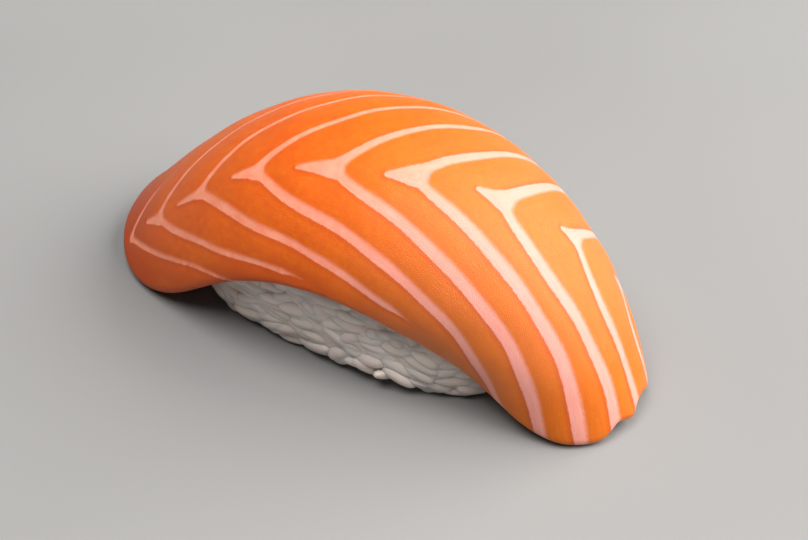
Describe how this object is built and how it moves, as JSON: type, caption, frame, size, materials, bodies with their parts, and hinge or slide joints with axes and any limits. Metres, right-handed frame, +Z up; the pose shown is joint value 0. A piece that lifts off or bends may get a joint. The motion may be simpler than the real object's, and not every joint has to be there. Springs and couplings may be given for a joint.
{
  "type": "salmon nigiri",
  "caption": "Salmon nigiri: a striped slice of raw salmon draped in an arch over a pressed oblong block of sushi rice",
  "frame": {"origin": "on the surface it stands on, under the middle of the bounding box", "axes": "X runs along the slice from its blunt end to its tapered end, Y across it, Z up"},
  "size_m": [0.0779, 0.0366, 0.0315],
  "materials": {
    "salmon_flesh": "moist raw fish, softly glossy, orange bands between pale fat lines",
    "sushi_rice": "cooked short-grain rice, translucent white, slightly sticky sheen"
  },
  "bodies": {
    "root": {"salmon": "salmon_flesh", "rice": "sushi_rice"}
  },
  "joints": []
}
